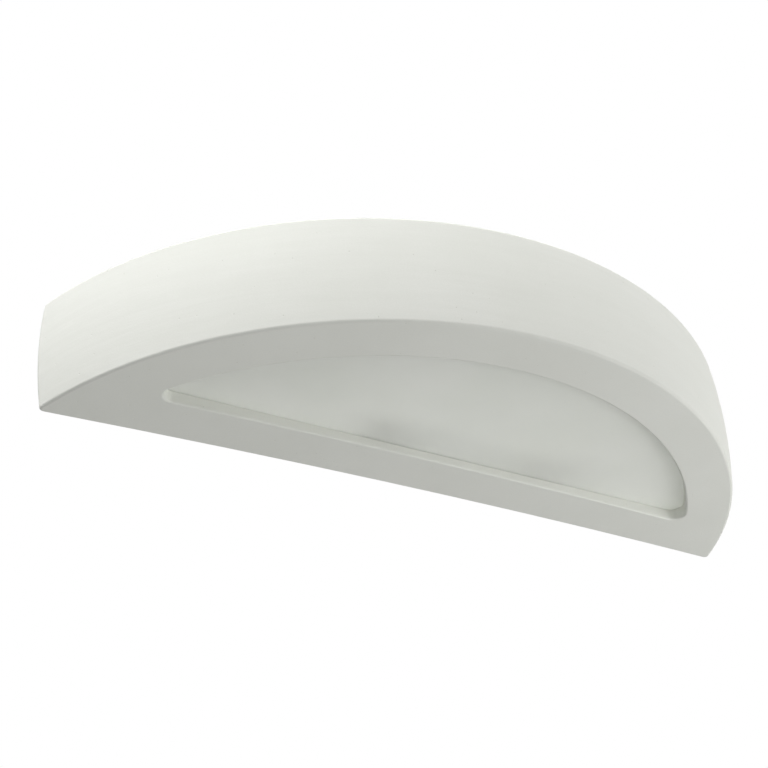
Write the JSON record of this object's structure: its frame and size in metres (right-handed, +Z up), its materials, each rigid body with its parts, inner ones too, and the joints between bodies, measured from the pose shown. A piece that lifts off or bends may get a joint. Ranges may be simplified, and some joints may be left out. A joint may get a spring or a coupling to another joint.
{
  "type": "wall light",
  "caption": "Half-moon ceramic wall light, open at the top, with a frosted glass window in its floor and a linear lamp inside.",
  "frame": {"origin": "middle of the two wall screws, on the wall plane at the back of the light", "axes": "+X along the wall, to the right when facing it; +Y into the wall; +Z up"},
  "size_m": [0.4072, 0.1414, 0.0594],
  "materials": {
    "bisque": "matte, unglazed, off-white",
    "frosted_glass": "acid-etched on both faces",
    "silicone": "soft, translucent white",
    "zinc_steel": "zinc-plated, satin",
    "white_steel": "white powder coat",
    "fibre": "red vulcanised fibre",
    "brass": "plain",
    "nickel": "nickel-plated",
    "bright_aluminium": "bright, brushed",
    "steatite": "unglazed cream steatite",
    "quartz": "clear",
    "tungsten": "dark grey",
    "copper_alloy": "plain copper alloy",
    "block_plastic": "natural white",
    "earth_sleeve": "green and yellow",
    "brown_sleeve": "glass-fibre sleeve, brown",
    "blue_sleeve": "glass-fibre sleeve, blue",
    "black_rubber": "matte"
  },
  "bodies": {
    "fixture": {"ceramic_shade": "bisque", "glass_pads": "silicone", "wall_bracket": "zinc_steel", "shade_studs": "zinc_steel", "stud_washers": "fibre", "thumb_nuts": "nickel", "lamp_bracket": "white_steel", "bracket_rivets": "bright_aluminium", "heat_shield": "bright_aluminium", "shield_pillars": "zinc_steel", "shield_screws": "zinc_steel", "lampholder_left": "steatite", "lampholder_right": "steatite", "holder_screws": "zinc_steel", "holder_terminals": "brass", "contact_spring_left": "nickel", "contact_spring_right": "nickel", "terminal_block": "block_plastic", "terminal_clamps": "brass", "terminal_screws": "zinc_steel", "block_screw": "zinc_steel", "earth_screw": "brass", "earth_tag": "copper_alloy", "earth_wire": "earth_sleeve", "live_wire": "brown_sleeve", "neutral_wire": "blue_sleeve", "cable_grommet": "black_rubber"},
    "glass": {"diffuser_glass": "frosted_glass"},
    "lamp": {"lamp_tube": "quartz", "lamp_caps": "steatite", "lamp_contacts": "nickel", "lamp_filament": "tungsten", "filament_supports": "tungsten"},
    "contact_left": {"contact_left": "nickel"},
    "contact_right": {"contact_right": "nickel"}
  },
  "joints": [
    {"name": "glass_lift", "type": "slide", "parent": "fixture", "child": "glass", "axis": [0, 0, 1], "range_m": [0, 0.005]},
    {"name": "lamp_slide", "type": "slide", "parent": "fixture", "child": "lamp", "axis": [1, 0, 0], "range_m": [-0.002, 0.002], "stiffness_N_per_m": 600},
    {"name": "contact_right_slide", "type": "slide", "parent": "fixture", "child": "contact_right", "axis": [1, 0, 0], "range_m": [-0.002, 0.002], "deforming": ["contact_spring_right"]},
    {"name": "contact_left_slide", "type": "slide", "parent": "fixture", "child": "contact_left", "axis": [1, 0, 0], "range_m": [-0.002, 0.002], "deforming": ["contact_spring_left"]}
  ],
  "couplings": [
    {"joint": "contact_right_slide", "follows": "lamp_slide", "ratio": 1},
    {"joint": "contact_left_slide", "follows": "lamp_slide", "ratio": 1}
  ]
}
